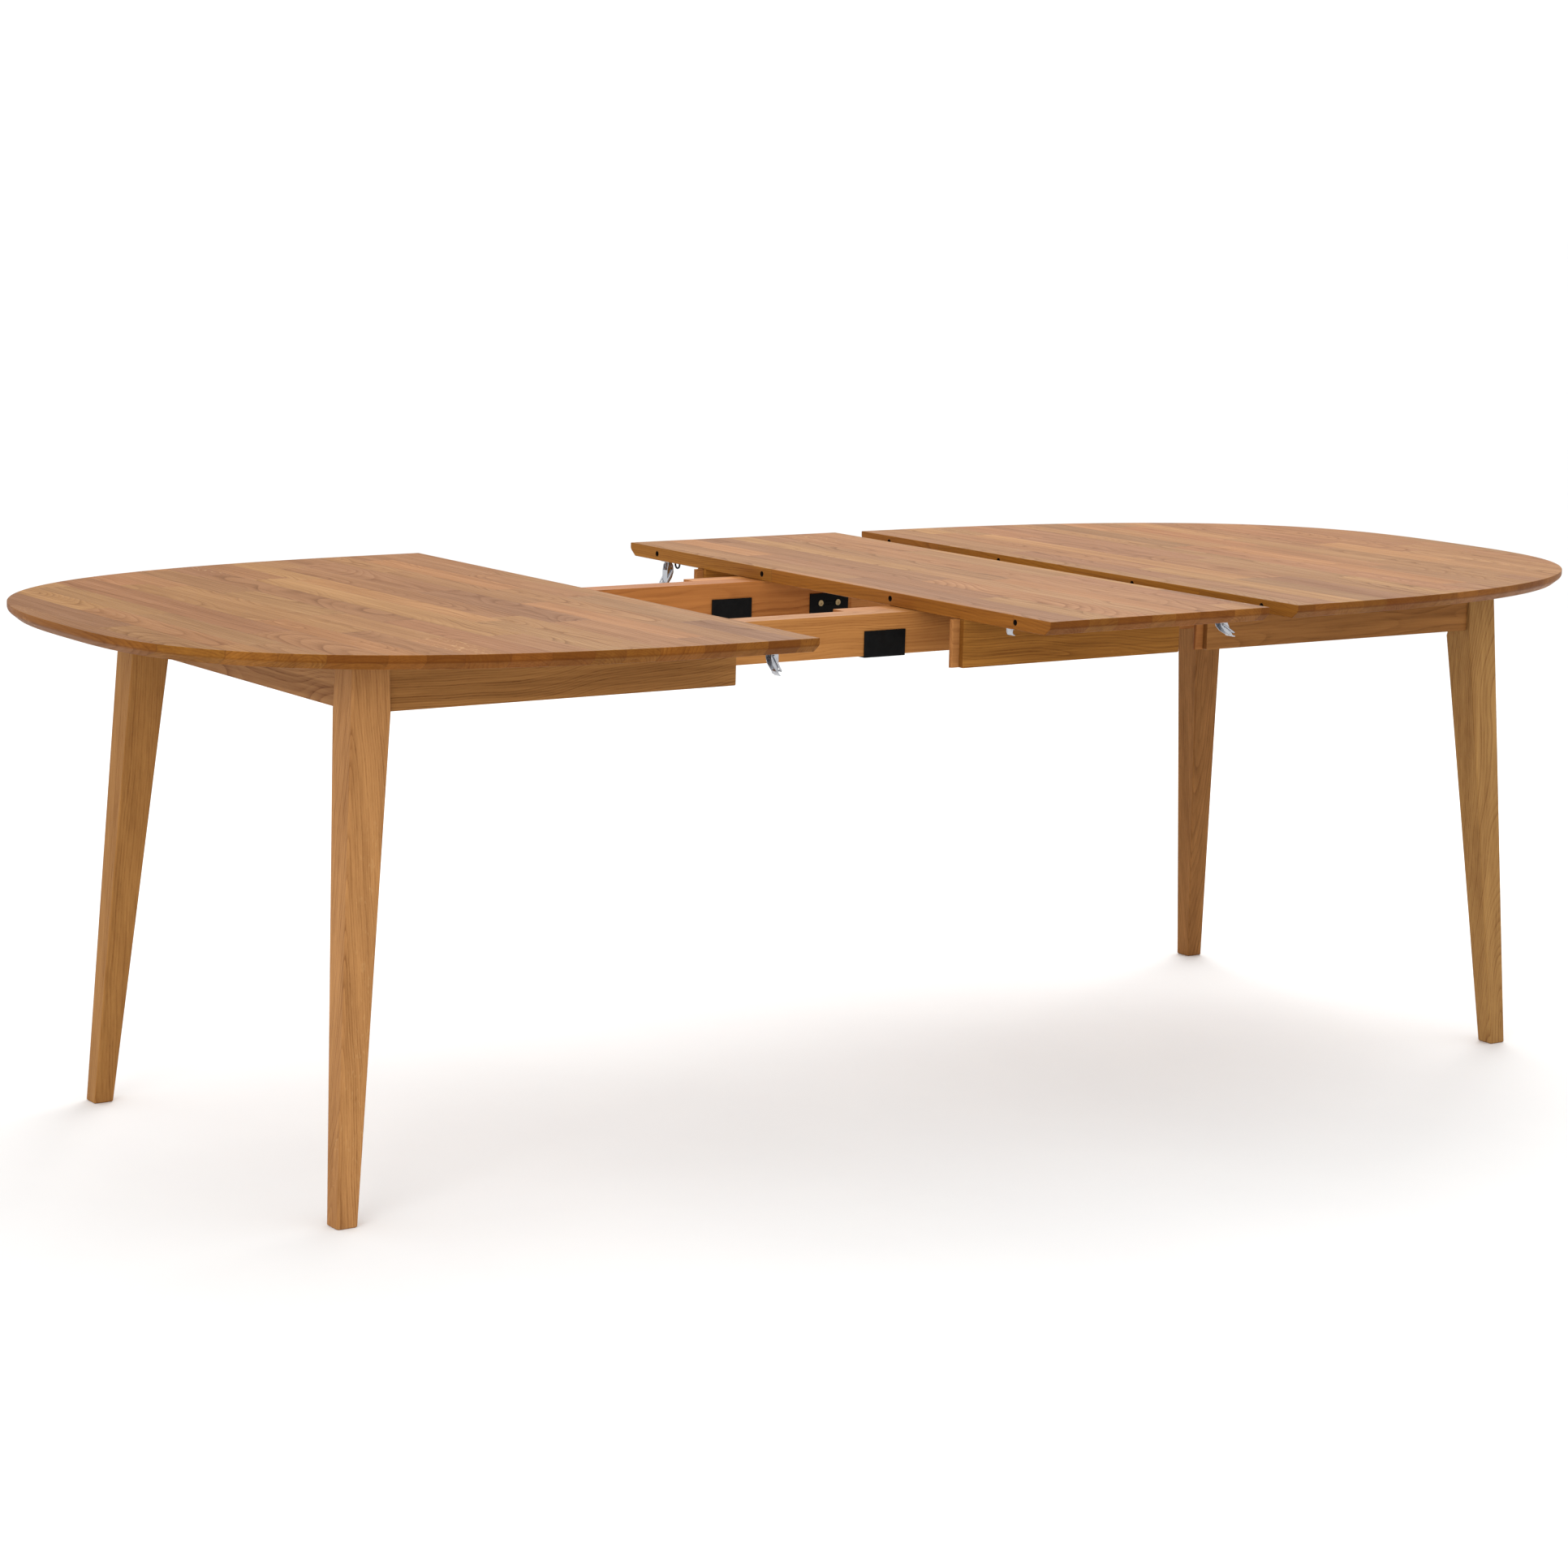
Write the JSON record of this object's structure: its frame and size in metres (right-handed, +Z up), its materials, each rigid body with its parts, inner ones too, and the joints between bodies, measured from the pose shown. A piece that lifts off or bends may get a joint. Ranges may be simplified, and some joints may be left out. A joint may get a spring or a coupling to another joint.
{
  "type": "extendable dining table",
  "caption": "Oval-ended oak dining table on splayed tapered legs, drawn open on wooden slide rails, with a loose leaf in the opening, dowels, tongues and toggle latches at the seams.",
  "frame": {"origin": "on the floor under the middle of the opening between the two halves, as drawn open", "axes": "+X along the table towards the right half, +Y to the back, +Z up"},
  "size_m": [2.512, 1.068, 0.75],
  "materials": {
    "oak": "oiled solid oak, satin",
    "oak_inner": "planed beech and oak, bare",
    "zinc_steel": "bright zinc plated",
    "black_steel": "black satin lacquer",
    "brass": "yellow zinc plated"
  },
  "bodies": {
    "left_half": {"left_top": "oak", "left_apron_front": "oak", "left_apron_back": "oak", "left_apron_end": "oak", "left_leg_front": "oak", "left_leg_back": "oak", "left_corner_braces": "oak_inner", "left_leg_bolts": "zinc_steel", "left_leg_nuts": "zinc_steel", "left_glue_blocks": "oak_inner", "left_rail_front": "oak", "left_rail_back": "oak", "left_rail_screws": "zinc_steel", "left_slide_brackets": "black_steel", "left_bracket_screws": "brass", "left_dowels": "oak_inner", "left_latch_base": "zinc_steel", "left_keeper": "zinc_steel", "left_latch_screws": "brass"},
    "leaf": {"leaf_top": "oak", "leaf_apron_front": "oak", "leaf_apron_back": "oak", "leaf_tongues": "oak", "leaf_glue_blocks": "oak_inner", "leaf_dowels": "oak_inner", "leaf_latch_base_left": "zinc_steel", "leaf_latch_base_right": "zinc_steel", "leaf_keepers": "zinc_steel", "leaf_latch_screws": "brass", "leaf_staple": "black_steel"},
    "right_half": {"right_top": "oak", "right_apron_front": "oak", "right_apron_back": "oak", "right_apron_end": "oak", "right_tongues": "oak", "right_leg_front": "oak", "right_leg_back": "oak", "right_corner_braces": "oak_inner", "right_leg_bolts": "zinc_steel", "right_leg_nuts": "zinc_steel", "right_glue_blocks": "oak_inner", "right_rail_front": "oak", "right_rail_back": "oak", "right_rail_screws": "zinc_steel", "right_slide_brackets": "black_steel", "right_bracket_screws": "brass", "right_latch_base": "zinc_steel", "right_keeper": "zinc_steel", "right_latch_screws": "brass"},
    "left_lever": {"left_latch_lever": "zinc_steel"},
    "left_bail": {"left_latch_bail": "zinc_steel"},
    "leaf_left_lever": {"leaf_latch_lever_left": "zinc_steel"},
    "leaf_left_bail": {"leaf_latch_bail_left": "zinc_steel"},
    "leaf_right_lever": {"leaf_latch_lever_right": "zinc_steel"},
    "leaf_right_bail": {"leaf_latch_bail_right": "zinc_steel"},
    "right_lever": {"right_latch_lever": "zinc_steel"},
    "right_bail": {"right_latch_bail": "zinc_steel"}
  },
  "joints": [
    {"name": "leaf_slide", "type": "slide", "parent": "left_half", "child": "leaf", "axis": [1, 0, 0], "range_m": [-0.3857, 0.0537]},
    {"name": "right_half_slide", "type": "slide", "parent": "leaf", "child": "right_half", "axis": [1, 0, 0], "range_m": [-0.0537, 0.0537]},
    {"name": "left_lever_hinge", "type": "hinge", "parent": "left_half", "child": "left_lever", "pos_m": [-0.431, -0.44, 0.722], "axis": [0, 1, 0], "range_deg": [0, 90]},
    {"name": "left_bail_hinge", "type": "hinge", "parent": "left_lever", "child": "left_bail", "pos_m": [-0.4335, -0.44, 0.716], "axis": [0, 1, 0], "range_deg": [-160, 8]},
    {"name": "leaf_right_lever_hinge", "type": "hinge", "parent": "leaf", "child": "leaf_right_lever", "pos_m": [0.355, -0.44, 0.722], "axis": [0, 1, 0], "range_deg": [0, 118]},
    {"name": "leaf_right_bail_hinge", "type": "hinge", "parent": "leaf_right_lever", "child": "leaf_right_bail", "pos_m": [0.35561, -0.44, 0.71553], "axis": [0, 1, 0], "range_deg": [-160, 8]},
    {"name": "leaf_left_lever_hinge", "type": "hinge", "parent": "leaf", "child": "leaf_left_lever", "pos_m": [-0.023, 0.44, 0.722], "axis": [0, -1, 0], "range_deg": [0, 90]},
    {"name": "leaf_left_bail_hinge", "type": "hinge", "parent": "leaf_left_lever", "child": "leaf_left_bail", "pos_m": [-0.0205, 0.44, 0.716], "axis": [0, -1, 0], "range_deg": [-160, 8]},
    {"name": "right_lever_hinge", "type": "hinge", "parent": "right_half", "child": "right_lever", "pos_m": [0.431, 0.44, 0.722], "axis": [0, -1, 0], "range_deg": [0, 90]},
    {"name": "right_bail_hinge", "type": "hinge", "parent": "right_lever", "child": "right_bail", "pos_m": [0.4335, 0.44, 0.716], "axis": [0, -1, 0], "range_deg": [-160, 8]}
  ],
  "couplings": [
    {"joint": "left_bail_hinge", "follows": "left_lever_hinge", "ratio": -1.6667},
    {"joint": "leaf_right_bail_hinge", "follows": "leaf_right_lever_hinge", "ratio": -1.2712},
    {"joint": "leaf_left_bail_hinge", "follows": "leaf_left_lever_hinge", "ratio": -1.6667},
    {"joint": "right_bail_hinge", "follows": "right_lever_hinge", "ratio": -1.6667}
  ]
}
